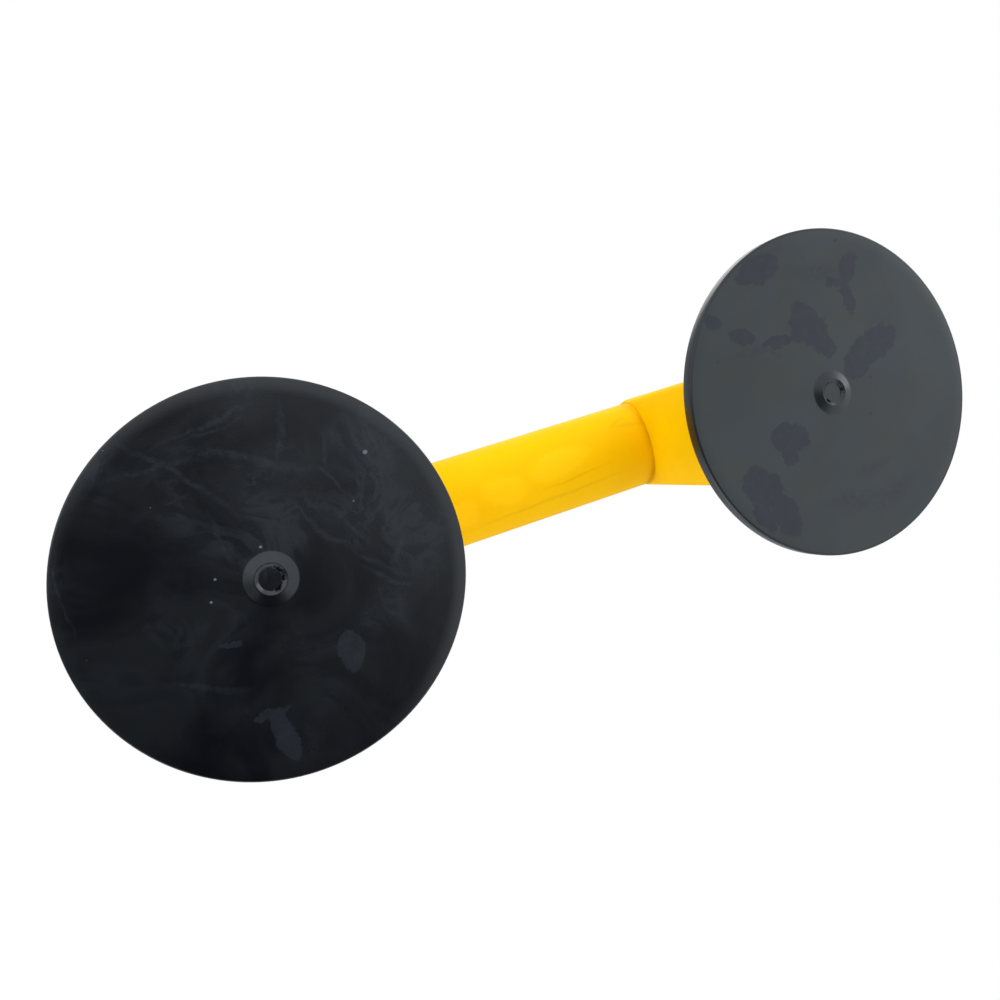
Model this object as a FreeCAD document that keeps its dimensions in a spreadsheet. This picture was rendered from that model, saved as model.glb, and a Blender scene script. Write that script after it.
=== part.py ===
import FreeCAD, Part
import os
import re

import Sketcher
from FreeCAD import Placement, Rotation, Vector

# Twin-cup suction lifter for floor tiles.
# Frame: origin midway between the cups on the plane of the pad rims, +Z up, +X towards the right cup.
# Each cup is drawn once about its own axis with +X pointing away from the grip;
# the left cup is the same set of pieces turned half a turn about Z.

doc = FreeCAD.newDocument("suction_lifter")
dim = doc.addObject("Spreadsheet::Sheet", "dim")

# name, value in millimetres (degrees for angles), what it is
sizes = [
    ("cup_spacing", 210, "distance between the two cup axes"),
    # rubber pad
    ("pad_dia", 120, "outside diameter of the rubber pad"),
    ("rim_thick", 5, "thickness of the pad at its rim"),
    ("rim_edge", 0.7, "chamfer on the rim's edges"),
    ("land_width", 5, "flat sealing land at the rim"),
    ("dish_depth", 1.2, "depth of the face at the hub"),
    ("back_height", 6.5, "height of the pad's back inside the skirt"),
    ("back_play", 1, "gap between the skirt and the pad's raised back"),
    ("back_slope", 2, "slope at the edge of the raised back"),
    ("boss_dia", 32, "rubber boss round the stud's flange"),
    ("boss_height", 11, "top of the rubber boss"),
    ("boss_foot", 4, "spread of the rubber boss at its foot"),
    ("nub_base_dia", 16.4, "hub nub at the pad's face"),
    ("nub_top_dia", 10, "hub nub at its tip"),
    ("nub_recess", 0.1, "tip of the nub behind the rim plane"),
    ("nub_hole_dia", 9.2, "mouth of the blind hole in the nub"),
    ("nub_floor_dia", 6.8, "floor of the blind hole"),
    ("nub_hole_depth", 1.9, "depth of the blind hole"),
    ("bond_gap", 0.1, "bond line between rubber and stud"),
    # stud
    ("flange_dia", 24, "stud flange in the rubber"),
    ("flange_thick", 2, "thickness of the stud flange"),
    ("flange_base", 6, "underside of the stud flange"),
    ("stud_dia", 10, "stud shank"),
    ("tongue_thick", 7, "flattened top of the stud"),
    ("flats_base", 24.5, "start of the stud's flats, released"),
    ("tongue_rise", 6, "top of the stud above the pin"),
    ("stud_chamfer", 1.2, "chamfer on the stud's top"),
    ("guide_fit", 0.05, "radial running clearance of stud and pin"),
    ("press_fit", 0.01, "radial clearance of pressed pieces"),
    # housing
    ("skirt_dia", 104, "outside diameter of the housing"),
    ("skirt_wall", 3.5, "wall of the housing's skirt"),
    ("roof_height", 26, "top of the housing's roof"),
    ("roof_thick", 3.2, "thickness of the roof"),
    ("skirt_height", 10, "top of the skirt's upright wall"),
    ("flat_roof_dia", 80, "flat roof before its edge is rounded"),
    ("roof_round", 8, "round at the roof's edge"),
    ("rib_thick", 2.5, "radial ribs under the roof"),
    ("rib_base", 14.3, "underside of the ribs, clear of the rubber boss when it is drawn up"),
    ("rib_count", 8, "number of radial ribs"),
    ("bush_dia", 14, "outside diameter of the guide bush"),
    ("bush_base", 15, "underside of the guide bush"),
    ("bush_flange_dia", 19, "flange of the guide bush"),
    ("bush_flange_thick", 1.5, "thickness of the bush's flange"),
    ("bush_boss_wall", 4, "wall of the boss round the bush"),
    # tower that carries the grip
    ("nose_reach", 57, "cup axis to the tower's nose"),
    ("nose_bulge", 80, "radius of the nose seen from above"),
    ("nose_corner", 3, "corner rounds of the nose"),
    ("tower_base", 7.5, "underside of the tower"),
    ("tower_foot_width", 39, "width of the tower at its foot"),
    ("arch_lip", 1.2, "tower's arch outside the grip tube"),
    ("tower_back", 19, "cup axis to the tower's outer wall"),
    ("tower_wall", 3.5, "wall round the tower's hollow"),
    ("tower_hollow_top", 36, "top of the tower's hollow"),
    ("foot_round", 4, "round between tower and dome"),
    ("cheek_gap", 29.2, "slot between the lever's guide cheeks"),
    ("cheek_reach", 24, "cup axis to the end of the cheeks"),
    ("cheek_end_height", 33, "height of the cheeks at their end"),
    ("cheek_sweep", 75, "radius of the cheeks' sloping edge"),
    ("cheek_corner", 4, "corner round at the cheeks' end"),
    # grip
    ("grip_dia", 34, "outside diameter of the grip tube"),
    ("grip_wall", 2.5, "wall of the grip tube"),
    ("grip_height", 56.3, "axis of the grip above the rim plane"),
    ("socket_depth", 4, "depth of the tube's seat in the nose"),
    ("socket_play", 0.05, "radial play of the tube's seat"),
    ("spigot_play", 0.1, "radial play of the spigot in the tube"),
    ("spigot_length", 16, "spigot beyond the bottom of the seat"),
    ("spigot_chamfer", 1.5, "lead-in on the spigot"),
    # tie rod
    ("rod_dia", 6, "tie rod through the grip"),
    ("rod_play", 0.3, "radial play of the rod in the castings"),
    ("rod_chamfer", 0.7, "chamfer on the rod's ends"),
    ("rod_overrun", 0.8, "rod beyond the nut"),
    ("nut_flats", 10, "tie nut across flats"),
    ("nut_thick", 5, "thickness of the tie nut"),
    ("nut_chamfer", 0.2, "radial chamfer on the nut's outer corners"),
    ("thread_fit", 0.05, "radial gap drawn at the thread"),
    ("washer_dia", 12, "tie washer"),
    ("washer_thick", 1.2, "thickness of the tie washer"),
    ("washer_play", 0.2, "radial play of the washer on the rod"),
    ("nut_pocket_dia", 15, "pocket for the tie nut"),
    ("nut_pocket_depth", 8, "depth of the nut's pocket"),
    # wear plate, cam lever and its pin
    ("plate_length", 26, "wear plate along the lever"),
    ("plate_play", 0.3, "gap between wear plate and cheeks"),
    ("plate_thick", 3, "thickness of the wear plate"),
    ("plate_corner", 3, "corner rounds of the wear plate"),
    ("plate_hole_play", 0.4, "radial gap between plate and stud"),
    ("cam_dia", 19, "diameter of the eccentric cams"),
    ("cam_throw", 2.68, "pin to the middle of the cams"),
    ("cam_gap", 0.15, "gap between cams and wear plate"),
    ("swing_angle", 68, "angle the lever turns through"),
    ("rise_angle", 60, "lever above the horizontal, released"),
    ("lever_width", 24, "width of the lever at its cams"),
    ("lever_tip_width", 30, "width of the lever at its tip"),
    ("lever_length", 60, "pin to the lever's tip"),
    ("lever_curl", 9, "tip of the lever above the pin"),
    ("lever_grip_thick", 7, "depth of the lever at its tip"),
    ("lever_crown", 1, "top of the lever above the middle of that depth"),
    ("lever_skin", 3, "wall of the lever's channel"),
    ("lever_bend", 44, "pin to the start of the lever's curl"),
    ("lever_lip", 1, "slant of the lever's end"),
    ("lever_heel", 2, "start of the underside's curl beyond the bend"),
    ("lever_web_place", 27, "pin to the web across the lever's channel"),
    ("lever_web_drop", 2, "web below the level of the pin"),
    ("lever_flare", 26, "pin to where the lever starts to widen"),
    ("lever_slot_reach", 11.8, "pin to the end of the lever's slot"),
    ("lever_slot_play", 0.3, "gap between stud tongue and lever"),
    ("lever_round", 1, "rounds on the lever's long edges"),
    ("lever_tip_round", 5, "corner rounds of the lever's tip seen from above"),
    ("back_angle", 10, "where the lever's top meets the cams, from the vertical"),
    ("front_angle", 40, "where the lever's underside meets the cams, below the level"),
    ("bar_dia", 2, "raised grip bars across the lever"),
    ("bar_first", 28, "pin to the first grip bar"),
    ("bar_count", 4, "number of grip bars"),
    ("bar_pitch", 3.5, "distance between the grip bars"),
    ("bar_length", 16, "length of the grip bars"),
    ("bar_sunk", 0.3, "middle of the grip bars below the lever's top"),
    ("pin_dia", 5, "cross pin"),
    ("pin_head_dia", 8, "head of the cross pin"),
    ("pin_head_thick", 1.3, "thickness of the pin's head"),
    ("pin_side_play", 0.15, "gap between the lever and the pin's head"),
    ("pin_overrun", 0.7, "pin beyond its clip"),
    ("clip_dia", 9, "spring clip on the pin"),
    ("clip_thick", 0.8, "thickness of the spring clip"),
]

# sizes that follow from the others
derived = {
    "cup_place": "cup_spacing/2",
    "flange_top": "flange_base + flange_thick",
    "skirt_radius": "skirt_dia/2",
    "ceiling_height": "roof_height - roof_thick",
    "ceiling_radius": "flat_roof_dia/2 - roof_thick",
    "bush_seat": "bush_base + bush_flange_thick",
    "rib_start": "bush_flange_dia/4 + bush_dia/4 + bush_boss_wall/2",
    "rib_height": "ceiling_height + roof_thick/2 - rib_base",
    "rib_end": "flat_roof_dia/2",
    "hollow_reach": "skirt_radius - skirt_wall - rim_edge",
    "hollow_half": "arch_radius - 2*tower_wall",
    "arch_radius": "grip_dia/2 + arch_lip",
    "tower_top": "grip_height + arch_radius",
    "nose_corner_place": "nose_reach - nose_bulge + sqrt(nose_bulge^2 - tower_foot_width^2/4)",
    "seat_place": "nose_reach - socket_depth",
    "bore_radius": "grip_dia/2 - grip_wall",
    "spigot_radius": "bore_radius - spigot_play",
    "nut_floor": "tower_back + nut_pocket_depth",
    "rod_end": "nut_floor - washer_thick - nut_thick - rod_overrun",
    "plate_top": "roof_height + plate_thick",
    "cam_radius": "cam_dia/2",
    "lever_top": "lever_grip_thick/2 + lever_crown",
    "lever_back_x": "cam_mid_x - cam_radius*sin(back_angle)",
    "lever_back_z": "cam_mid_z + cam_radius*cos(back_angle)",
    "lever_slope": "(lever_top - lever_back_z)/(lever_bend - lever_back_x)",
    "half_swing": "swing_angle/2",
    "pin_height": "plate_top + cam_gap + cam_radius - cam_throw*sin(half_swing)",
    "cam_angle": "half_swing - rise_angle",
    "cam_mid_x": "cam_throw*cos(cam_angle)",
    "cam_mid_z": "cam_throw*sin(cam_angle)",
    "slot_half": "tongue_thick/2 + lever_slot_play",
    "head_seat": "lever_width/2 + pin_side_play",
    "pin_end": "head_seat + clip_thick + pin_overrun",
}

aliases = {name for name, _, _ in sizes}
for row, (name, number, note) in enumerate(sizes, start=1):
    dim.set(f"A{row}", note)
    dim.set(f"B{row}", str(number))
    dim.setAlias(f"B{row}", name)
doc.recompute()


def formula(text):
    """The text with every size name turned into its cell of the sheet."""
    def swap(match):
        word = match.group(0)
        if word in derived:
            return "(" + formula(derived[word]) + ")"
        return "dim." + word if word in aliases else word
    return re.sub(r"[a-z]+(?:_[a-z]+)+", swap, text)


def value(text):
    return float(dim.evalExpression(formula(text)))


def bind(thing, **properties):
    for name, text in properties.items():
        thing.setExpression(name, formula(text))


def start(kind, label):
    part = doc.addObject(kind, label)
    part.Label = label
    return part


def sketch_on(body, role, name, offset=None):
    """An empty sketch on one of the body's own origin planes, moved along the plane's normal."""
    plane = next(f for f in body.Origin.OriginFeatures if f.Role == role)
    sketch = body.newObject("Sketcher::SketchObject", name)
    sketch.AttachmentSupport = (plane, "")
    sketch.MapMode = "FlatFace"
    if offset:
        sketch.setExpression("AttachmentOffset.Base.z", formula(offset))
    return sketch


def hold(sketch, kind, text, *geometry):
    """A dimension bound to the sheet."""
    index = sketch.addConstraint(Sketcher.Constraint(kind, *geometry, value(text)))
    sketch.setExpression(f"Constraints[{index}]", formula(text))


def arc_middle(first, last, radius, side, major):
    """A point halfway along the arc between two points, on the given side of the way from first to last."""
    half = (last - first) * 0.5
    depth = max(radius**2 - half.Length**2, 0) ** 0.5
    rise = radius + depth if major else radius - depth
    normal = Vector(-half.y, half.x, 0).normalize()
    return first + half + normal * (side * rise)


def outline(sketch, corners, arcs=None):
    """A closed loop through the corners; arcs = {edge: (radius, side, major)} bends an edge."""
    arcs = arcs or {}
    points = [Vector(value(x), value(y), 0) for x, y in corners]
    ends = []
    for i, first in enumerate(points):
        last = points[(i + 1) % len(points)]
        if i in arcs:
            radius, side, major = arcs[i]
            middle = arc_middle(first, last, value(radius), side, major)
            edge = sketch.addGeometry(Part.Arc(first, middle, last), False)
            forward = sketch.getPoint(edge, 1).distanceToPoint(first) < 1e-6
            ends.append((edge, 1, 2) if forward else (edge, 2, 1))
        else:
            ends.append((sketch.addGeometry(Part.LineSegment(first, last), False), 1, 2))
    for i, (edge, near, far) in enumerate(ends):
        following, its_near, _ = ends[(i + 1) % len(ends)]
        sketch.addConstraint(Sketcher.Constraint("Coincident", edge, far, following, its_near))
        hold(sketch, "DistanceX", corners[i][0], -1, 1, edge, near)
        hold(sketch, "DistanceY", corners[i][1], -1, 1, edge, near)
        if i in arcs:
            hold(sketch, "Radius", arcs[i][0], edge)
    return sketch


def circle(sketch, x, y, radius):
    ring = Part.Circle(Vector(value(x), value(y), 0), Vector(0, 0, 1), value(radius))
    edge = sketch.addGeometry(ring, False)
    hold(sketch, "DistanceX", x, -1, 1, edge, 3)
    hold(sketch, "DistanceY", y, -1, 1, edge, 3)
    hold(sketch, "Radius", radius, edge)
    return sketch


def box_outline(sketch, low_x, high_x, low_y, high_y):
    return outline(sketch, [(low_x, low_y), (high_x, low_y), (high_x, high_y), (low_x, high_y)])


def extrude(body, kind, sketch, length, side="One side", flip=False):
    """A Pad or Pocket of the sketch."""
    feature = body.newObject("PartDesign::" + kind, sketch.Name + "_" + kind.lower())
    feature.Profile = sketch
    feature.SideType = side
    feature.Reversed = flip
    bind(feature, Length=length)
    return feature


def spin(body, kind, sketch, axis):
    """A Revolution or Groove of the sketch about a line of the body's origin."""
    feature = body.newObject("PartDesign::" + kind, sketch.Name + "_" + kind.lower())
    feature.Profile = sketch
    feature.ReferenceAxis = (next(f for f in body.Origin.OriginFeatures if f.Role == axis), [""])
    feature.Angle = 360
    return feature


def dress(body, kind, name, radius, wanted):
    """A Fillet or Chamfer on the edges of the body's tip that answer wanted."""
    doc.recompute()
    base = body.Tip
    edges = [f"Edge{i}" for i, edge in enumerate(base.Shape.Edges, start=1) if wanted(edge)]
    feature = body.newObject("PartDesign::" + kind, name)
    feature.Base = (base, edges)
    bind(feature, **{"Radius" if kind == "Fillet" else "Size": radius})
    return feature


def at_cup(part, left, height="0", tilt="0", out="0"):
    """Puts a piece of one cup in place; the left cup is turned half a turn about Z."""
    place = Vector(value("cup_place") + value(out), 0, value(height))
    own = Placement(place, Rotation(Vector(0, 1, 0), value(tilt)))
    turn = Placement(Vector(), Rotation(Vector(0, 0, 1), 180 if left else 0))
    part.Placement = turn * own


def make_pad(label, left):
    body = start("PartDesign::Body", label)
    face = outline(sketch_on(body, "XZ_Plane", label + "_section"), [
        ("0", "nub_recess + nub_hole_depth"),
        ("nub_floor_dia/2", "nub_recess + nub_hole_depth"),
        ("nub_hole_dia/2", "nub_recess"),
        ("nub_top_dia/2", "nub_recess"),
        ("nub_base_dia/2", "dish_depth"),
        ("pad_dia/2 - land_width", "0"),
        ("pad_dia/2 - rim_edge", "0"),
        ("pad_dia/2", "rim_edge"),
        ("pad_dia/2", "rim_thick - rim_edge"),
        ("pad_dia/2 - rim_edge", "rim_thick"),
        ("skirt_radius - skirt_wall - back_play", "rim_thick"),
        ("skirt_radius - skirt_wall - back_play - back_slope", "back_height"),
        ("boss_dia/2 + boss_foot", "back_height"),
        ("boss_dia/2", "back_height + boss_foot/2"),
        ("boss_dia/2 - rim_edge", "boss_height"),
        ("stud_dia/2 + bond_gap", "boss_height"),
        ("stud_dia/2 + bond_gap", "flange_top + bond_gap"),
        ("flange_dia/2 + bond_gap", "flange_top + bond_gap"),
        ("flange_dia/2 + bond_gap", "flange_base - bond_gap"),
        ("0", "flange_base - bond_gap"),
    ])
    spin(body, "Revolution", face, "Z_Axis")
    at_cup(body, left)
    return body


def make_stud(label, left):
    body = start("PartDesign::Body", label)
    section = outline(sketch_on(body, "XZ_Plane", label + "_section"), [
        ("0", "flange_base"),
        ("flange_dia/2", "flange_base"),
        ("flange_dia/2", "flange_top"),
        ("stud_dia/2", "flange_top"),
        ("stud_dia/2", "pin_height + tongue_rise - stud_chamfer"),
        ("stud_dia/2 - stud_chamfer", "pin_height + tongue_rise"),
        ("0", "pin_height + tongue_rise"),
    ])
    spin(body, "Revolution", section, "Z_Axis")
    for name, edge_side in (("flat_front", "-"), ("flat_back", "")):
        flat = sketch_on(body, "YZ_Plane", f"{label}_{name}")
        near, far = f"{edge_side}(tongue_thick/2)", f"{edge_side}(stud_dia)"
        outline(flat, [
            (near, "flats_base"),
            (far, "flats_base"),
            (far, "pin_height + 2*tongue_rise"),
            (near, "pin_height + 2*tongue_rise"),
        ])
        extrude(body, "Pocket", flat, "2*stud_dia", "Symmetric")
    eye = circle(sketch_on(body, "XZ_Plane", label + "_eye"), "0", "pin_height", "pin_dia/2 + press_fit")
    extrude(body, "Pocket", eye, "2*stud_dia", "Symmetric")
    at_cup(body, left)
    return body


def add_housing_rounds(body):
    """Corner rounds of the nose, the ends of the cheeks, and the foot where tower and dome meet."""
    nose = value("nose_reach")
    foot = value("tower_base + rim_edge")

    def on_nose(edge):
        box = edge.BoundBox
        return box.XMax < -nose + value("2*nose_corner") and box.ZMax > foot

    def on_cheek_end(edge):
        box = edge.BoundBox
        upper = box.ZMin > value("cheek_end_height") - 0.01 and box.ZLength < 0.01
        return upper and box.XMin > value("cheek_reach") - 0.01

    def at_foot(edge):
        middle = edge.CenterOfMass
        box = edge.BoundBox
        side = min(abs(box.YMin), abs(box.YMax)) > value("cheek_gap/2 + rim_edge")
        flat = box.YLength < value("nose_corner")
        low = foot < box.ZMax < value("roof_height") + 0.1
        between = -nose + value("foot_round") < middle.x < value("cheek_reach - rim_edge")
        return side and flat and low and between

    dress(body, "Fillet", body.Label + "_nose_round", "nose_corner", on_nose)
    dress(body, "Fillet", body.Label + "_cheek_round", "cheek_corner", on_cheek_end)
    dress(body, "Fillet", body.Label + "_foot_round", "foot_round", at_foot)


def make_housing(label, left):
    body = start("PartDesign::Body", label)
    dome = outline(sketch_on(body, "XZ_Plane", label + "_dome"), [
        ("0", "rim_thick"),
        ("skirt_radius", "rim_thick"),
        ("skirt_radius", "skirt_height"),
        ("flat_roof_dia/2", "roof_height"),
        ("0", "roof_height"),
    ])
    spin(body, "Revolution", dome, "Z_Axis")
    roof = value("roof_height")
    dress(body, "Fillet", label + "_roof_round", "roof_round", lambda edge: edge.BoundBox.ZMin > roof - 0.01)

    # tower and cheeks: one arched section run along the grip, then trimmed from above and from the side
    arch = outline(sketch_on(body, "YZ_Plane", label + "_arch", "cheek_reach"), [
        ("-tower_foot_width/2", "tower_base"),
        ("tower_foot_width/2", "tower_base"),
        ("arch_radius", "grip_height"),
        ("0", "tower_top"),
        ("-arch_radius", "grip_height"),
    ], {2: ("arch_radius", -1, False), 3: ("arch_radius", -1, False)})
    extrude(body, "Pad", arch, "nose_reach + cheek_reach", flip=True)
    nose = outline(sketch_on(body, "XY_Plane", label + "_nose"), [
        ("-nose_corner_place", "tower_foot_width/2"),
        ("-nose_corner_place", "tower_foot_width"),
        ("-nose_reach - socket_depth", "tower_foot_width"),
        ("-nose_reach - socket_depth", "-tower_foot_width"),
        ("-nose_corner_place", "-tower_foot_width"),
        ("-nose_corner_place", "-tower_foot_width/2"),
    ], {5: ("nose_bulge", 1, False)})
    extrude(body, "Pocket", nose, "2*tower_top", flip=True)
    slope = outline(sketch_on(body, "XZ_Plane", label + "_slope"), [
        ("-tower_back", "tower_top"),
        ("cheek_reach", "cheek_end_height"),
        ("2*cheek_reach", "cheek_end_height"),
        ("2*cheek_reach", "tower_top + arch_radius"),
        ("-tower_back", "tower_top + arch_radius"),
    ], {0: ("cheek_sweep", -1, False)})
    extrude(body, "Pocket", slope, "2*tower_foot_width", "Symmetric")
    slot = box_outline(
        sketch_on(body, "XY_Plane", label + "_slot", "roof_height"),
        "-tower_back", "2*cheek_reach", "-cheek_gap/2", "cheek_gap/2")
    extrude(body, "Pocket", slot, "2*tower_top", flip=True)
    add_housing_rounds(body)

    # underside: the dome's shell, the tower's hollow, the guide boss and the ribs
    shell = outline(sketch_on(body, "XZ_Plane", label + "_shell"), [
        ("0", "rim_thick - skirt_wall"),
        ("skirt_radius - skirt_wall", "rim_thick - skirt_wall"),
        ("skirt_radius - skirt_wall", "skirt_height"),
        ("ceiling_radius", "ceiling_height"),
        ("0", "ceiling_height"),
    ])
    spin(body, "Groove", shell, "Z_Axis")
    hollow = box_outline(
        sketch_on(body, "XY_Plane", label + "_hollow"),
        "-hollow_reach", "-tower_back - tower_wall", "-hollow_half", "hollow_half")
    extrude(body, "Pocket", hollow, "tower_hollow_top", flip=True)
    boss = circle(
        sketch_on(body, "XY_Plane", label + "_boss", "bush_seat"), "0", "0", "bush_dia/2 + bush_boss_wall")
    extrude(body, "Pad", boss, "roof_height - roof_thick/2 - bush_seat")
    rib = box_outline(
        sketch_on(body, "XY_Plane", label + "_rib", "rib_base"),
        "rib_start", "rib_end", "-rib_thick/2", "rib_thick/2")
    ribs = extrude(body, "Pad", rib, "rib_height")
    doc.recompute()
    ring = body.newObject("PartDesign::PolarPattern", label + "_ribs")
    ring.Originals = [ribs]
    ring.Axis = (rib, ["N_Axis"])
    ring.Angle = 360
    bind(ring, Occurrences="rib_count")
    body.Tip = ring
    bore = circle(sketch_on(body, "XY_Plane", label + "_bore"), "0", "0", "bush_dia/2 + press_fit")
    extrude(body, "Pocket", bore, "2*roof_height", flip=True)

    # nose: seat for the tube's end, spigot inside the tube, bore and pocket for the tie rod
    seat = circle(
        sketch_on(body, "YZ_Plane", label + "_seat", "-seat_place"),
        "0", "grip_height", "grip_dia/2 + socket_play")
    extrude(body, "Pocket", seat, "2*socket_depth", flip=False)
    spigot = circle(
        sketch_on(body, "YZ_Plane", label + "_spigot", "-seat_place"), "0", "grip_height", "spigot_radius")
    extrude(body, "Pad", spigot, "spigot_length", flip=True)
    beyond = -value("nose_reach + spigot_chamfer")
    dress(body, "Chamfer", label + "_lead", "spigot_chamfer", lambda edge: edge.BoundBox.XMax < beyond)
    rod_bore = circle(
        sketch_on(body, "YZ_Plane", label + "_rod_bore", "-tower_back"),
        "0", "grip_height", "rod_dia/2 + rod_play")
    extrude(body, "Pocket", rod_bore, "nose_reach + spigot_length", flip=False)
    pocket = circle(
        sketch_on(body, "YZ_Plane", label + "_nut_pocket", "-tower_back"),
        "0", "grip_height", "nut_pocket_dia/2")
    extrude(body, "Pocket", pocket, "nut_pocket_depth", flip=False)
    at_cup(body, left)
    return body


def make_guide_bush(label, left):
    body = start("PartDesign::Body", label)
    section = outline(sketch_on(body, "XZ_Plane", label + "_section"), [
        ("stud_dia/2 + guide_fit", "bush_base"),
        ("bush_flange_dia/2", "bush_base"),
        ("bush_flange_dia/2", "bush_seat"),
        ("bush_dia/2", "bush_seat"),
        ("bush_dia/2", "roof_height"),
        ("stud_dia/2 + guide_fit", "roof_height"),
    ])
    spin(body, "Revolution", section, "Z_Axis")
    at_cup(body, left)


def make_wear_plate(label, left):
    body = start("PartDesign::Body", label)
    blank = box_outline(
        sketch_on(body, "XY_Plane", label + "_blank"),
        "-plate_length/2", "plate_length/2", "-cheek_gap/2 + plate_play", "cheek_gap/2 - plate_play")
    extrude(body, "Pad", blank, "plate_thick")
    half = value("plate_thick/2")
    dress(body, "Fillet", label + "_corners", "plate_corner", lambda edge: edge.BoundBox.ZLength > half)
    hole = circle(sketch_on(body, "XY_Plane", label + "_hole"), "0", "0", "stud_dia/2 + plate_hole_play")
    extrude(body, "Pocket", hole, "2*plate_thick", flip=True)
    at_cup(body, left, "roof_height")


def add_lever_rounds(body):
    """Corner rounds of the lever's tip, then the round along its top and underside edges beyond the cams."""
    tip = value("lever_length")
    cams = value("cam_mid_x + cam_radius")

    def on_tip_corner(edge):
        box = edge.BoundBox
        return box.XMin > tip - 0.01 and box.YLength < 0.01

    def on_long_edge(edge):
        box = edge.BoundBox
        outer = max(abs(box.YMin), abs(box.YMax)) > value("lever_width/2") - 0.01
        along = edge.CenterOfMass.x > cams and (box.XLength > box.ZLength or box.XMin > tip - 0.01)
        return outer and along and (box.YMin > 0 or box.YMax < 0 or box.XMin > tip - 0.01)

    dress(body, "Fillet", body.Label + "_tip_corners", "lever_tip_round", on_tip_corner)
    dress(body, "Fillet", body.Label + "_edges", "lever_round", on_long_edge)


def make_lever(label, left):
    """Drawn with its pin at the origin and the handle level along +X, then lifted to its released angle."""
    body = start("PartDesign::Body", label)
    side = outline(sketch_on(body, "XZ_Plane", label + "_side"), [
        ("lever_back_x", "lever_back_z"),
        ("lever_bend", "lever_top"),
        ("lever_length", "lever_curl"),
        ("lever_length + lever_lip", "lever_curl - lever_skin"),
        ("lever_bend + lever_heel", "-lever_grip_thick/2"),
        ("cam_mid_x + cam_radius*cos(front_angle)", "cam_mid_z - cam_radius*sin(front_angle)"),
    ], {1: ("lever_bend", -1, False), 3: ("lever_bend", 1, False), 5: ("cam_radius", 1, True)})
    extrude(body, "Pad", side, "lever_tip_width", "Symmetric")
    for name, face in (("near", "-"), ("far", "")):
        taper = outline(sketch_on(body, "XY_Plane", f"{label}_taper_{name}"), [
            ("-cam_dia", face + "lever_width/2"),
            ("lever_flare", face + "lever_width/2"),
            ("lever_bend", face + "lever_tip_width/2"),
            ("lever_bend", face + "lever_tip_width"),
            ("-cam_dia", face + "lever_tip_width"),
        ])
        extrude(body, "Pocket", taper, "4*cam_dia", "Symmetric")
    add_lever_rounds(body)
    slot = box_outline(
        sketch_on(body, "XY_Plane", label + "_slot"), "-cam_dia", "lever_slot_reach", "-slot_half", "slot_half")
    extrude(body, "Pocket", slot, "4*cam_dia", "Symmetric")
    channel = outline(sketch_on(body, "XZ_Plane", label + "_channel"), [
        ("lever_slot_reach + lever_skin", "lever_top - lever_skin/2"),
        ("lever_bend", "lever_top - lever_skin"),
        ("lever_bend", "-cam_dia"),
        ("lever_slot_reach + lever_skin", "-cam_dia"),
    ])
    extrude(body, "Pocket", channel, "lever_width - 2*lever_skin", "Symmetric")
    web = box_outline(
        sketch_on(body, "XZ_Plane", label + "_web"),
        "lever_web_place", "lever_web_place + lever_skin/2", "-lever_web_drop", "lever_top - lever_skin/2")
    extrude(body, "Pad", web, "lever_width - lever_skin", "Symmetric")
    bars = sketch_on(body, "XZ_Plane", label + "_bars")
    for i in range(round(value("bar_count"))):
        place = f"(bar_first + {i}*bar_pitch)"
        circle(bars, place, f"lever_top + lever_slope*({place} - lever_bend) - bar_sunk", "bar_dia/2")
    extrude(body, "Pad", bars, "bar_length", "Symmetric")
    bore = circle(sketch_on(body, "XZ_Plane", label + "_bore"), "0", "0", "pin_dia/2 + guide_fit")
    extrude(body, "Pocket", bore, "2*lever_tip_width", "Symmetric")
    at_cup(body, left, "pin_height", "-rise_angle")


def make_cross_pin(label, left):
    """A headed pin along Y through the lever and the stud's eye, with its head on the -Y side."""
    body = start("PartDesign::Body", label)
    section = outline(sketch_on(body, "YZ_Plane", label + "_section"), [
        ("-head_seat - pin_head_thick", "0"),
        ("-head_seat - pin_head_thick", "pin_head_dia/2 - pin_head_thick/2"),
        ("-head_seat - pin_head_thick/2", "pin_head_dia/2"),
        ("-head_seat", "pin_head_dia/2"),
        ("-head_seat", "pin_dia/2"),
        ("pin_end - pin_overrun/2", "pin_dia/2"),
        ("pin_end", "pin_dia/2 - pin_overrun/2"),
        ("pin_end", "0"),
    ])
    spin(body, "Revolution", section, "Y_Axis")
    at_cup(body, left, "pin_height")


def make_pin_clip(label, left):
    body = start("PartDesign::Body", label)
    section = outline(sketch_on(body, "YZ_Plane", label + "_section"), [
        ("head_seat", "pin_dia/2 + press_fit"),
        ("head_seat + clip_thick", "pin_dia/2 + press_fit"),
        ("head_seat + clip_thick", "pin_dia/2 + clip_thick"),
        ("head_seat + clip_thick/2", "clip_dia/2"),
        ("head_seat", "clip_dia/2"),
    ])
    spin(body, "Revolution", section, "Y_Axis")
    at_cup(body, left, "pin_height")


def make_grip_tube(label):
    body = start("PartDesign::Body", label)
    section = circle(sketch_on(body, "YZ_Plane", label + "_outside"), "0", "grip_height", "grip_dia/2")
    circle(section, "0", "grip_height", "bore_radius")
    extrude(body, "Pad", section, "cup_spacing - 2*seat_place", "Symmetric")


def make_tie_rod(label):
    body = start("PartDesign::Body", label)
    section = circle(sketch_on(body, "YZ_Plane", label + "_section"), "0", "grip_height", "rod_dia/2")
    extrude(body, "Pad", section, "cup_spacing - 2*rod_end", "Symmetric")
    dress(body, "Chamfer", label + "_ends", "rod_chamfer", lambda edge: edge.BoundBox.XLength < 0.01)


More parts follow.
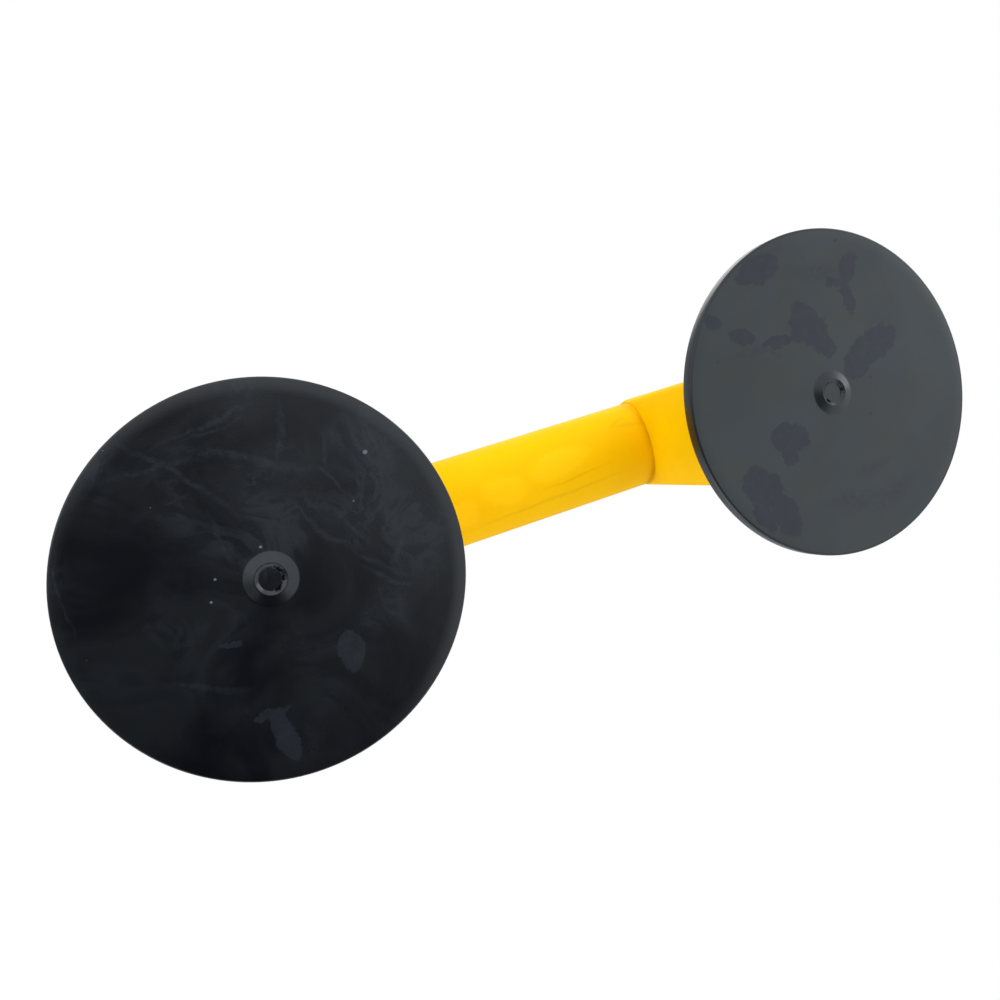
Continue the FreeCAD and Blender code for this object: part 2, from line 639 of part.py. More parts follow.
def along_grip(part, left, out):
    """Stands a piece drawn along Z on the grip's axis, its foot towards the middle of the tool."""
    own = Placement(Vector(value("cup_place - " + out), 0, value("grip_height")), Rotation(Vector(0, 1, 0), 90))
    turn = Placement(Vector(), Rotation(Vector(0, 0, 1), 180 if left else 0))
    part.Placement = turn * own


def ring_of(label, blank, hole_radius, height):
    """A round hole through a Part primitive."""
    drill = doc.addObject("Part::Cylinder", label + "_hole")
    bind(drill, Radius=hole_radius, Height=height)
    ring = start("Part::Cut", label)
    ring.Base = blank
    ring.Tool = drill
    return ring


def make_tie_washer(label, left):
    disc = doc.addObject("Part::Cylinder", label + "_disc")
    bind(disc, Radius="washer_dia/2", Height="washer_thick")
    along_grip(ring_of(label, disc, "rod_dia/2 + washer_play", "washer_thick"), left, "nut_floor")


def make_tie_nut(label, left):
    hexagon = doc.addObject("Part::Prism", label + "_hexagon")
    hexagon.Polygon = 6
    bind(hexagon, Circumradius="nut_flats/(2*cos(30))", Height="nut_thick")
    cone = doc.addObject("Part::Cone", label + "_corners")
    bind(cone, Radius1="nut_flats", Radius2="nut_flats/2 - nut_chamfer", Height="nut_thick")
    blank = doc.addObject("Part::Common", label + "_blank")
    blank.Base = hexagon
    blank.Tool = cone
    nut = ring_of(label, blank, "rod_dia/2 + thread_fit", "nut_thick")
    along_grip(nut, left, "(nut_floor - washer_thick)")


make_grip_tube("grip_tube")
make_tie_rod("tie_rod")
for suffix, left in (("right", False), ("left", True)):
    make_pad("pad_" + suffix, left)
    make_stud("stud_" + suffix, left)
    make_housing("housing_" + suffix, left)
    make_guide_bush("guide_bush_" + suffix, left)
    make_wear_plate("wear_plate_" + suffix, left)
    make_lever("lever_" + suffix, left)
    make_cross_pin("cross_pin_" + suffix, left)
    make_pin_clip("pin_clip_" + suffix, left)
    make_tie_washer("tie_washer_" + suffix, left)
    make_tie_nut("tie_nut_" + suffix, left)

doc.recompute()
for thing in doc.Objects:
    if "Invalid" in thing.State or "Error" in thing.State:
        raise SystemExit(f"{thing.Label} failed: {thing.State}")
nodes = [part for part in doc.Objects if part.TypeId in ("PartDesign::Body", "Part::Cut")]
for part in nodes:
    if part.Shape.isNull() or not part.Shape.isValid():
        raise SystemExit(f"{part.Label} has no valid shape")
os.makedirs("parts", exist_ok=True)
for part in nodes:
    part.Shape.exportStep(f"parts/{part.Label}.step")
    print(part.Label, len(part.Shape.Solids), round(part.Shape.Volume), part.Shape.BoundBox)
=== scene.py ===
import math

import bmesh
import bpy
from mathutils import Matrix, Vector
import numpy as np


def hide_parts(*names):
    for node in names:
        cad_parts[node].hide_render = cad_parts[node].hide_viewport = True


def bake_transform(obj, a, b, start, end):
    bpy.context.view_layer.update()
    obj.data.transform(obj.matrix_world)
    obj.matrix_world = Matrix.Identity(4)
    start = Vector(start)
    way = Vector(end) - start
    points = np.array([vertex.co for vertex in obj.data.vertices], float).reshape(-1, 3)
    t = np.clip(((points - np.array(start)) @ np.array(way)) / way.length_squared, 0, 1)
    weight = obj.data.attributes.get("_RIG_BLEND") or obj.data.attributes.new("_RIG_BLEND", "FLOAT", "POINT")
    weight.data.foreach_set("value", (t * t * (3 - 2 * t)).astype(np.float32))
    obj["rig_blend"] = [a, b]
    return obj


# Twin-cup suction lifter for floor tiles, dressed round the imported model.
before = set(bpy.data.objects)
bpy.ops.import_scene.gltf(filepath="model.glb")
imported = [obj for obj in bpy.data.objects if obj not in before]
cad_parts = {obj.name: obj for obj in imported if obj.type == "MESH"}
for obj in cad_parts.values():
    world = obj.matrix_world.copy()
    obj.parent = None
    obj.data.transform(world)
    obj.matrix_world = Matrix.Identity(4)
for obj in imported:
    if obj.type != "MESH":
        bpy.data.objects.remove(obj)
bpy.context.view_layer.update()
mm = 0.001
perMetre = 1000  # millimetres in a metre
sides = {"right": 0.105, "left": -0.105}  # where each cup's axis stands along X

scene = bpy.context.scene
scene.view_settings.view_transform = "Standard"
print("frame loaded:", len(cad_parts), "nodes")


# camera, below the pads and looking up at them
cameraView = {
    "place": (-0.114, -0.0275, -0.2684),
    "right": (0.9065, 0.2850, -0.3117),
    "up": (0.3000, -0.9539, 0.0004),
    "lens": 31.68,
    "sensor": 36.0,
    "clip": 0.01,
}


def addCamera(view):
    lens = bpy.data.cameras.new("studyCamera")
    lens.lens = view["lens"]
    lens.sensor_width = view["sensor"]
    lens.clip_start = view["clip"]
    camera = bpy.data.objects.new("studyCamera", lens)
    scene.collection.objects.link(camera)
    across = Vector(view["right"]).normalized()
    back = across.cross(Vector(view["up"])).normalized()
    up = back.cross(across)
    turn = Matrix((across, up, back)).transposed().to_4x4()
    camera.matrix_world = Matrix.Translation(view["place"]) @ turn
    scene.camera = camera


addCamera(cameraView)
print("camera placed")


def addNode(tree, kind, inputs=None, **settings):
    node = tree.nodes.new(kind)
    for name, setting in settings.items():
        setattr(node, name, setting)
    for name, source in (inputs or {}).items():
        feed(tree, source, node.inputs[name])
    return node


def feed(tree, source, socket):
    if isinstance(source, bpy.types.NodeSocket):
        tree.links.new(source, socket)
    else:
        socket.default_value = source


def calc(tree, operation, a, b=0.0, clamp=False):
    return addNode(tree, "ShaderNodeMath", {0: a, 1: b}, operation=operation, use_clamp=clamp).outputs[0]


def vectorCalc(tree, operation, a, b=(0, 0, 0)):
    return addNode(tree, "ShaderNodeVectorMath", {0: a, 1: b}, operation=operation).outputs["Vector"]


def vectorLength(tree, a):
    return addNode(tree, "ShaderNodeVectorMath", {0: a}, operation="LENGTH").outputs["Value"]


def vectorDot(tree, a, b):
    return addNode(tree, "ShaderNodeVectorMath", {0: a, 1: b}, operation="DOT_PRODUCT").outputs["Value"]


def product(tree, first, *others):
    for other in others:
        first = calc(tree, "MULTIPLY", first, other)
    return first


def remap(tree, value, low, high, toLow, toHigh, smooth=False):
    kind = "SMOOTHSTEP" if smooth else "LINEAR"
    inputs = {"Value": value, "From Min": low, "From Max": high, "To Min": toLow, "To Max": toHigh}
    return addNode(tree, "ShaderNodeMapRange", inputs, interpolation_type=kind).outputs["Result"]


def mixColour(tree, share, first, second):
    node = addNode(tree, "ShaderNodeMix", data_type="RGBA")
    feed(tree, share, node.inputs[0])
    feed(tree, first, node.inputs[6])
    feed(tree, second, node.inputs[7])
    return node.outputs[2]


def noise(tree, vector, scale, detail=2.0, roughness=0.5, distortion=0.0):
    return addNode(tree, "ShaderNodeTexNoise", {
        "Vector": vector, "Scale": scale, "Detail": detail,
        "Roughness": roughness, "Distortion": distortion})


def newGroup(name, inputs, outputs):
    group = bpy.data.node_groups.new(name, "ShaderNodeTree")
    kinds = {"v": "NodeSocketVector", "f": "NodeSocketFloat", "c": "NodeSocketColor"}
    for label, kind, default in inputs:
        socket = group.interface.new_socket(name=label, in_out="INPUT", socket_type=kinds[kind])
        if default is not None:
            socket.default_value = default
    for label, kind in outputs:
        group.interface.new_socket(name=label, in_out="OUTPUT", socket_type=kinds[kind])
    given = group.nodes.new("NodeGroupInput").outputs
    result = group.nodes.new("NodeGroupOutput").inputs
    return group, given, result


def useGroup(tree, group, inputs):
    return addNode(tree, "ShaderNodeGroup", inputs, node_tree=group).outputs


def roundedNormal(tree, radius):
    return addNode(tree, "ShaderNodeBevel", {"Radius": radius}, samples=4).outputs["Normal"]


# shared effects; every vector is in millimetres; noise is its scale, detail and roughness, and fineness is
# the last two
endless = 1e6  # an oval's half size along Z, so that only X and Y count
noiseSpan = (0.3, 0.7)  # where most of a noise's values lie
speckLook = {"smallest": 0.3, "edge": (0.6, 1.0)}
wispLook = {"fineness": (4.0, 0.55), "cover": (0.035, 2.0), "coverSpan": (0.45, 0.62)}
peelLook = {"fineness": (2.0, 0.5), "fineShare": 0.25, "tone": (0.05, 3.0, 0.5)}
rubLook = {"start": 0.02, "breaks": (0.6, 5.0, 0.7), "breakSpan": (0.42, 0.62)}
turningLook = {"fineness": (3.0, 0.7), "tone": (0.3, 3.0, 0.6)}
mouldingLook = {"fineness": (3.0, 0.6)}
angularLook = {"bend": (0.12, 3.0, 0.6), "keep": 0.3}
flowingLook = {"bend": (0.045, 4.0, 0.5)}


def makeOvalPatch():
    tree, given, result = newGroup("ovalPatch", [
        ("Vector", "v", None), ("Centre", "v", (0, 0, 0)), ("Turn", "f", 0.0), ("Length", "f", 10.0),
        ("Width", "f", 5.0), ("Edge", "f", 0.2)], [("Mask", "f")])
    local = vectorCalc(tree, "SUBTRACT", given["Vector"], given["Centre"])
    local = addNode(
        tree, "ShaderNodeVectorRotate", {"Vector": local, "Angle": given["Turn"]}, rotation_type="Z_AXIS")
    size = addNode(tree, "ShaderNodeCombineXYZ", {"X": given["Length"], "Y": given["Width"], "Z": endless})
    reach = vectorLength(tree, vectorCalc(tree, "DIVIDE", local.outputs[0], size.outputs[0]))
    inner = calc(tree, "SUBTRACT", 1.0, given["Edge"])
    outer = calc(tree, "ADD", 1.0, given["Edge"])
    feed(tree, remap(tree, reach, inner, outer, 1.0, 0.0, True), result["Mask"])
    return tree


def makeSpecks():
    tree, given, result = newGroup("dustSpecks", [
        ("Vector", "v", None), ("Spacing", "f", 4.0), ("Share", "f", 0.3), ("Radius", "f", 0.15),
    ], [("Mask", "f")])
    scale = calc(tree, "DIVIDE", 1.0, given["Spacing"])
    cells = addNode(tree, "ShaderNodeTexVoronoi", {"Vector": given["Vector"], "Scale": scale})
    parts = addNode(tree, "ShaderNodeSeparateColor", {"Color": cells.outputs["Color"]}).outputs
    chosen = calc(tree, "LESS_THAN", parts[0], given["Share"])
    radius = product(tree, given["Radius"], scale, calc(tree, "ADD", parts[1], speckLook["smallest"]))
    near = calc(tree, "DIVIDE", cells.outputs["Distance"], radius)
    near = remap(tree, near, *speckLook["edge"], 1.0, 0.0)
    feed(tree, calc(tree, "MULTIPLY", chosen, near), result["Mask"])
    return tree


def makeWisps():
    tree, given, result = newGroup("wipedSmears", [
        ("Vector", "v", None), ("Scale", "f", 0.04), ("Bend", "f", 2.0), ("Thin", "f", 12.0),
    ], [("Mask", "f")])
    field = noise(
        tree, given["Vector"], given["Scale"], *wispLook["fineness"], given["Bend"]).outputs["Fac"]
    ridge = calc(tree, "ABSOLUTE", calc(tree, "SUBTRACT", field, 0.5))
    ridge = calc(tree, "SUBTRACT", 1.0, calc(tree, "MULTIPLY", ridge, given["Thin"]), clamp=True)
    cover = noise(tree, given["Vector"], *wispLook["cover"]).outputs["Fac"]
    cover = remap(tree, cover, *wispLook["coverSpan"], 0.0, 1.0, True)
    feed(tree, calc(tree, "MULTIPLY", ridge, cover), result["Mask"])
    return tree


def makeOrangePeel():
    tree, given, result = newGroup("orangePeel", [
        ("Vector", "v", None), ("Scale", "f", 0.7), ("Fine", "f", 3.5)], [("Height", "f"), ("Tone", "f")])
    coarse = noise(tree, given["Vector"], given["Scale"], *peelLook["fineness"]).outputs["Fac"]
    fine = noise(tree, given["Vector"], given["Fine"], *peelLook["fineness"]).outputs["Fac"]
    feed(tree, calc(tree, "ADD", coarse, product(tree, fine, peelLook["fineShare"])), result["Height"])
    feed(tree, noise(tree, given["Vector"], *peelLook["tone"]).outputs["Fac"], result["Tone"])
    return tree


def makeEdgeRub():
    tree, given, result = newGroup("edgeRub", [
        ("Vector", "v", None), ("Radius", "f", 0.0006), ("Reach", "f", 0.25)], [("Mask", "f")])
    rounded = roundedNormal(tree, given["Radius"])
    flat = addNode(tree, "ShaderNodeNewGeometry").outputs["Normal"]
    same = vectorDot(tree, rounded, flat)
    edge = calc(tree, "SUBTRACT", 1.0, same)
    edge = remap(tree, edge, rubLook["start"], given["Reach"], 0.0, 1.0, True)
    broken = noise(tree, given["Vector"], *rubLook["breaks"]).outputs["Fac"]
    broken = remap(tree, broken, *rubLook["breakSpan"], 0.0, 1.0)
    feed(tree, calc(tree, "MULTIPLY", edge, broken), result["Mask"])
    return tree


def makeTurnedMarks():
    tree, given, result = newGroup("turnedMarks", [
        ("Vector", "v", None), ("Pitch", "f", 6.0)], [("Height", "f"), ("Tone", "f")])
    parts = addNode(tree, "ShaderNodeSeparateXYZ", {"Vector": given["Vector"]}).outputs
    flat = addNode(tree, "ShaderNodeCombineXYZ", {"X": parts["X"], "Y": parts["Y"]}).outputs[0]
    ring = addNode(tree, "ShaderNodeCombineXYZ", {"X": vectorLength(tree, flat), "Y": parts["Z"]}).outputs[0]
    marks = noise(tree, ring, given["Pitch"], *turningLook["fineness"]).outputs["Fac"]
    feed(tree, marks, result["Height"])
    feed(tree, noise(tree, given["Vector"], *turningLook["tone"]).outputs["Fac"], result["Tone"])
    return tree


def makeMouldGrain():
    tree, given, result = newGroup("mouldGrain", [
        ("Vector", "v", None), ("Scale", "f", 3.0)], [("Height", "f")])
    cells = addNode(tree, "ShaderNodeTexVoronoi", {"Vector": given["Vector"], "Scale": given["Scale"]})
    soft = noise(tree, given["Vector"], given["Scale"], *mouldingLook["fineness"]).outputs["Fac"]
    feed(tree, calc(tree, "ADD", cells.outputs["Distance"], soft), result["Height"])
    return tree


ovalPatch = makeOvalPatch()
dustSpecks = makeSpecks()
wipedSmears = makeWisps()
orangePeel = makeOrangePeel()
edgeRub = makeEdgeRub()
turnedMarks = makeTurnedMarks()
mouldGrain = makeMouldGrain()
print("shared effects ready")


def newMaterial(name, metallic=0.0, specular=0.5):
    material = bpy.data.materials.new(name)
    material.use_nodes = True
    shader = material.node_tree.nodes["Principled BSDF"]
    shader.inputs["Metallic"].default_value = metallic
    shader.inputs["Specular IOR Level"].default_value = specular
    return material, material.node_tree, shader.inputs


def millimetres(tree, centre=(0, 0, 0), turn=(0, 0, 0)):
    place = addNode(tree, "ShaderNodeTexCoord").outputs["Object"]
    # the centre is taken off after the turn
    return addNode(tree, "ShaderNodeMapping", {
        "Vector": place, "Scale": (perMetre,) * 3, "Rotation": turn,
        "Location": tuple(-c * perMetre for c in centre)}).outputs["Vector"]


def addBump(tree, sockets, height, distance, strength=1.0, normal=None):
    inputs = {"Height": height, "Distance": distance, "Strength": strength}
    if normal is not None:
        inputs["Normal"] = normal
    feed(tree, addNode(tree, "ShaderNodeBump", inputs).outputs["Normal"], sockets["Normal"])


def wandered(tree, vector, wander, bend):
    cloud = noise(tree, vector, *bend).outputs["Color"]
    bend = vectorCalc(tree, "SUBTRACT", cloud, (0.5,) * 3)
    return vectorCalc(tree, "ADD", vector, vectorCalc(tree, "MULTIPLY", bend, (wander, wander, 0)))


def brokenPlaces(tree, vector, cell, wander):
    # every place moves towards the middle of a small cell, so that an edge drawn over them comes out angular
    moved = wandered(tree, vector, wander, angularLook["bend"])
    cells = addNode(tree, "ShaderNodeTexVoronoi", {"Vector": moved, "Scale": 1 / cell}).outputs["Position"]
    near = vectorCalc(tree, "SUBTRACT", moved, cells)
    near = vectorCalc(tree, "MULTIPLY", near, (angularLook["keep"],) * 3)
    return vectorCalc(tree, "ADD", cells, near)


def bentPlaces(tree, vector, wander):
    # a smooth bend, so that a thin oval comes out as a wisp
    return wandered(tree, vector, wander, flowingLook["bend"])


def manyMarks(tree, places, marks, edge):
    total = None
    for centre, length, width, turn in marks.values():
        one = useGroup(tree, ovalPatch, {
            "Vector": places, "Centre": (*centre, 0), "Turn": math.radians(-turn),
            "Length": length, "Width": width, "Edge": edge})["Mask"]
        total = one if total is None else calc(tree, "MAXIMUM", total, one)
    return total


# yellow powder coat of the grip and the castings; each mark is its centre along X and Y, half length and
# half width in millimetres and turn in degrees
gripFinish = {
    "colour": (0.96, 0.515, 0.0, 1),
    "deep": (0.94, 0.490, 0.0, 1),
    "worn": (0.76, 0.44, 0.04, 1),
    "wear": 0.15,
    # share of painted shade at the seam where the tube goes into the housing
    "seamShade": 0.8,
    "peel": 0.35,
    "paleColour": (1.0, 0.585, 0.006, 1),
    "pale": {
        "left": ((-15, 0), 9, 5.5, 10),
        "right": ((9, -3), 13, 5, -6),
        "low": ((-32, 4), 6, 5, 0),
    },
    "scuffColour": (0.66, 0.34, 0.0, 1),
    "scuffs": {
        "end": ((42, -9.5), 6, 0.8, 8),
        "endHigh": ((38, -11.5), 4, 0.6, -20),
        "long": ((2, 9), 26, 0.6, -3),
        "longLow": ((14, 3.5), 12, 0.5, -4),
    },
}
castFinish = {
    "colour": (1.0, 0.575, 0.0, 1),
    "deep": (0.98, 0.550, 0.0, 1),
    "worn": (0.76, 0.44, 0.04, 1),
    "wear": 0.35,
    # share of painted shade at the seam where the tube goes into the housing
    "seamShade": 0.12,
    "peel": 0.5,
    "paleColour": (1.0, 0.60, 0.01, 1),
    "pale": {"nose": ((-56, 4), 7, 5, 20), "noseRight": ((57, -5), 5, 8, 0)},
    "scuffColour": (0.70, 0.38, 0.0, 1),
    "scuffs": {
        "nose": ((60, -10), 5, 0.4, 30),
        "back": ((120, 14), 7, 0.4, 50),
        "side": ((-118, -20), 8, 0.4, 15),
    },
}
# what both coats share; cells, wanders and reaches in millimetres, radii and bump in metres
coatSkin = {
    "roughness": 0.5,
    "roughSpread": 0.06,
    "specular": 0.04,
    "rubRadius": 0.0008,
    "paleCell": 1.4,
    "paleWander": 5.0,
    "paleEdge": 0.25,
    "paleShare": 0.55,
    "scuffWander": 5.0,
    "scuffEdge": 0.7,
    "scuffShare": 0.3,
    "socketDepth": 4.0,
    # painted shade at the seam: its colour, reach and fall in millimetres, and the tone span and least share
    # that make it patchy
    "seamShadeColour": (0.50, 0.21, 0.0, 1),
    "seamShadeReach": 6.0,
    "seamShadeFall": 4.0,
    "seamShadeTone": (0.3, 0.6),
    "seamShadeLeast": 0.3,
    "bump": 0.00008,
    "bumpStrength": 0.6,
    "edgeRadius": 0.0007,
}


def seamReach(socketDepth):
    # how far along X, in millimetres, the tube goes into the nose of the housing
    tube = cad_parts["grip_tube"]
    return max((tube.matrix_world @ vert.co).x for vert in tube.data.vertices) / mm - socketDepth


def makeCoat(name, finish, shared):
    material, tree, sockets = newMaterial(name, specular=shared["specular"])
    vector = millimetres(tree)
    peel = useGroup(tree, orangePeel, {"Vector": vector, "Scale": finish["peel"]})
    rub = useGroup(tree, edgeRub, {"Vector": vector, "Radius": shared["rubRadius"]})["Mask"]
    tone = remap(tree, peel["Tone"], *noiseSpan, 0.0, 1.0)
    colour = mixColour(tree, tone, finish["colour"], finish["deep"])
    broken = brokenPlaces(tree, vector, shared["paleCell"], shared["paleWander"])
    pale = manyMarks(tree, broken, finish["pale"], shared["paleEdge"])
    colour = mixColour(tree, product(tree, pale, shared["paleShare"]), colour, finish["paleColour"])
    bent = bentPlaces(tree, vector, shared["scuffWander"])
    scuffs = manyMarks(tree, bent, finish["scuffs"], shared["scuffEdge"])
    colour = mixColour(tree, product(tree, scuffs, shared["scuffShare"]), colour, finish["scuffColour"])
    # painted shade: the coat darkens in a narrow, patchy band on each side of the seam where the tube goes
    # into the housing
    across = calc(tree, "ABSOLUTE", addNode(tree, "ShaderNodeSeparateXYZ", {"Vector": vector}).outputs["X"])
    fromSeam = calc(tree, "ABSOLUTE", calc(tree, "SUBTRACT", across, seamReach(shared["socketDepth"])))
    seamShade = remap(tree, fromSeam, 0.0, shared["seamShadeReach"], 1.0, 0.0)
    seamShade = calc(tree, "POWER", seamShade, shared["seamShadeFall"])
    patchy = remap(tree, peel["Tone"], *shared["seamShadeTone"], shared["seamShadeLeast"], 1.0)
    seamShade = product(tree, seamShade, patchy, finish["seamShade"])
    colour = mixColour(tree, seamShade, colour, shared["seamShadeColour"])
    colour = mixColour(tree, product(tree, rub, finish["wear"]), colour, finish["worn"])
    feed(tree, colour, sockets["Base Color"])
    rough = calc(tree, "ADD", shared["roughness"], product(tree, tone, shared["roughSpread"]))
    feed(tree, rough, sockets["Roughness"])
    rounded = roundedNormal(tree, shared["edgeRadius"])
    addBump(tree, sockets, peel["Height"], shared["bump"], shared["bumpStrength"], rounded)
    return material


castCoat = makeCoat("castCoat", castFinish, coatSkin)
gripCoat = makeCoat("gripCoat", gripFinish, coatSkin)


# zinc-plated steel, bronze and moulded plastic; radii and bump in metres
zinc = ((0.60, 0.61, 0.62, 1), (0.46, 0.48, 0.50, 1))
bronze = ((0.62, 0.40, 0.17, 1), (0.48, 0.29, 0.11, 1))
turnedParts = {
    "rod": {"colours": zinc, "roughness": 0.3, "pitch": 5.0},
    "stud": {"colours": zinc, "roughness": 0.32, "pitch": 4.0},
    "pin": {"colours": zinc, "roughness": 0.28, "pitch": 5.0},
    "bush": {"colours": bronze, "roughness": 0.35, "pitch": 4.0},
}
turnedSkin = {
    "toneSpan": (0.35, 0.65),
    "smoother": 0.06,
    "rougher": 0.1,
    "bump": 0.00002,
    "bumpStrength": 0.4,
    "edgeRadius": 0.0002,
}
plateLook = {
    "brushing": (0.08, 2.2, 0.6),
    "grain": (1.5, 4.0, 0.6),
    "dark": (0.42, 0.43, 0.44, 1),
    "light": (0.56, 0.57, 0.57, 1),
    "rubbed": (0.68, 0.68, 0.67, 1),
    "rubRadius": 0.0004,
    "roughness": (0.26, 0.42),
    "bump": 0.00002,
    "bumpStrength": 0.4,
    "edgeRadius": 0.0003,
}
leverLook = {
    "specular": 0.45,
    "colour": (0.018, 0.018, 0.02, 1),
    "rubbed": (0.05, 0.05, 0.052, 1),
    "rubRadius": 0.0006,
    "dust": {"Spacing": 5.0, "Share": 0.2, "Radius": 0.18},
    "dustColour": (0.3, 0.3, 0.3, 1),
    "dustShare": 0.3,
    "grainScale": 2.6,
    "cloud": (0.12, 3.0),
    "roughness": (0.42, 0.55),
    "bump": 0.00003,
    "bumpStrength": 0.6,
    "edgeRadius": 0.0005,
}


def makeTurnedMetal(name, centre, turn, finish, shared):
    material, tree, sockets = newMaterial(name, metallic=1.0)
    vector = millimetres(tree, centre, turn)
    marks = useGroup(tree, turnedMarks, {"Vector": vector, "Pitch": finish["pitch"]})
    tone = remap(tree, marks["Tone"], *shared["toneSpan"], 0, 1)
    feed(tree, mixColour(tree, tone, *finish["colours"]), sockets["Base Color"])
    smooth, rough = finish["roughness"] - shared["smoother"], finish["roughness"] + shared["rougher"]
    feed(tree, remap(tree, marks["Height"], *noiseSpan, smooth, rough), sockets["Roughness"])
    rounded = roundedNormal(tree, shared["edgeRadius"])
    addBump(tree, sockets, marks["Height"], shared["bump"], shared["bumpStrength"], rounded)
    return material


def makePlateSteel(look):
    material, tree, sockets = newMaterial("plateSteel", metallic=1.0)
    vector = millimetres(tree)
    brushed = vectorCalc(tree, "MULTIPLY", vector, look["brushing"])
    grain = noise(tree, brushed, *look["grain"]).outputs["Fac"]
    rub = useGroup(tree, edgeRub, {"Vector": vector, "Radius": look["rubRadius"]})["Mask"]
    colour = mixColour(tree, grain, look["dark"], look["light"])
    feed(tree, mixColour(tree, rub, colour, look["rubbed"]), sockets["Base Color"])
    feed(tree, remap(tree, grain, *noiseSpan, *look["roughness"]), sockets["Roughness"])
    rounded = roundedNormal(tree, look["edgeRadius"])
    addBump(tree, sockets, grain, look["bump"], look["bumpStrength"], rounded)
    return material


def makeLeverPlastic(look):
    material, tree, sockets = newMaterial("leverPlastic", specular=look["specular"])
    vector = millimetres(tree)
    height = useGroup(tree, mouldGrain, {"Vector": vector, "Scale": look["grainScale"]})["Height"]
    rub = useGroup(tree, edgeRub, {"Vector": vector, "Radius": look["rubRadius"]})["Mask"]
    dust = useGroup(tree, dustSpecks, {"Vector": vector, **look["dust"]})["Mask"]
    colour = mixColour(tree, rub, look["colour"], look["rubbed"])
    colour = mixColour(tree, product(tree, dust, look["dustShare"]), colour, look["dustColour"])
    feed(tree, colour, sockets["Base Color"])
    cloud = noise(tree, vector, *look["cloud"]).outputs["Fac"]
    feed(tree, remap(tree, cloud, *noiseSpan, *look["roughness"]), sockets["Roughness"])
    rounded = roundedNormal(tree, look["edgeRadius"])
    addBump(tree, sockets, height, look["bump"], look["bumpStrength"], rounded)
    return material


plateSteel = makePlateSteel(plateLook)
leverPlastic = makeLeverPlastic(leverLook)
rodHeight, pinHeight = 0.0563, 0.0372  # metres above the pads' face, rounded
quarterTurn = math.radians(90)
rodZinc = makeTurnedMetal("rodZinc", (0, 0, rodHeight), (0, quarterTurn, 0), turnedParts["rod"], turnedSkin)

# rubber; film is the dull bloom on it, and on the right pad also painted sheen; patches are blots with a
# broken edge, strokes are soft wipes and bits are specks; each is its centre from the hub, half length, half
# width in millimetres and turn in degrees
# right pad: rubber and film set lighter than on the left pad, as painted sheen
padRubberRightSheen = {
    "rubber": (0.005, 0.006, 0.007, 1),
    "film": (0.0180, 0.0208, 0.0175, 1),
    "filmShade": (0.0155, 0.0210, 0.0225, 1),
    "filmFrom": 0.72,
    "cleaned": 0.9,
    "specular": 0.37,
    "roughness": 0.30,
    "patchCell": 1.5,
    "patchColour": (0.0030, 0.0045, 0.0115, 1),
    "patchShare": 0.9,
    "patches": {
        "topLeft": ((-18.5, -51), 8.5, 4.2, -2),
        "topLeftLow": ((-22, -48), 6, 2.5, 10),
        "topUpper": ((19, -42.5), 6.5, 3.6, 125),
        "topLower": ((16.5, -32.5), 6.5, 2.6, 82),
        "topSide": ((12.5, -38.5), 4, 1.6, 5),
        "middle": ((-2.5, -25), 11.5, 6, 62),
        "middleSide": ((-6.5, -27), 6, 4.5, 100),
        "middleLow": ((1, -17.5), 5.5, 4.2, 50),
        "tail": ((-17, -24), 7, 1.8, 0),
        "hubSide": ((23, -12), 11.5, 5.5, -14),
        "hubFoot": ((13, -7.5), 6.5, 5, -55),
        "leftSpot": ((-42, -36), 3.2, 2.4, 60),
        "leftSmall": ((-32, -29), 5.5, 3, 20),
        "square": ((-23, 11.5), 8.5, 5.5, 12),
        "squareLow": ((-24.5, 17), 4.5, 4, 90),
        "bottomLeft": ((-39.5, 25), 9.5, 7, 40),
        "bottomLow": ((-33, 37), 9, 5, 75),
        "bottomSide": ((-42, 35), 6, 3, 60),
    },
    "strokeColour": (0.006, 0.008, 0.014, 1),
    "strokeShare": 0.6,
    "strokes": {
        "topLine": ((-15, -55.5), 6, 0.6, -5),
        "leftLine": ((-27, -20.5), 12, 0.8, 18),
        "lowerRight": ((9, 32), 7, 2.2, -10),
        "lowerBand": ((-2, 41), 14, 3.0, 8),
        "lowerMiddle": ((14, 44), 10, 4.0, -20),
        "topBand": ((4, -43), 12, 3.0, 10),
    },
    "smearColour": (0.026, 0.030, 0.029, 1),
    "smearShare": 0.14,
    "speckColour": (0.003, 0.003, 0.004, 1),
    "bits": {
        "top": ((17, -53), 0.6, 0.5, 0),
        "right": ((14, 12), 0.7, 0.4, 0),
        "rightHigh": ((18, -1), 0.5, 0.4, 0),
        "left": ((-44, -23), 0.5, 0.4, 0),
    },
}
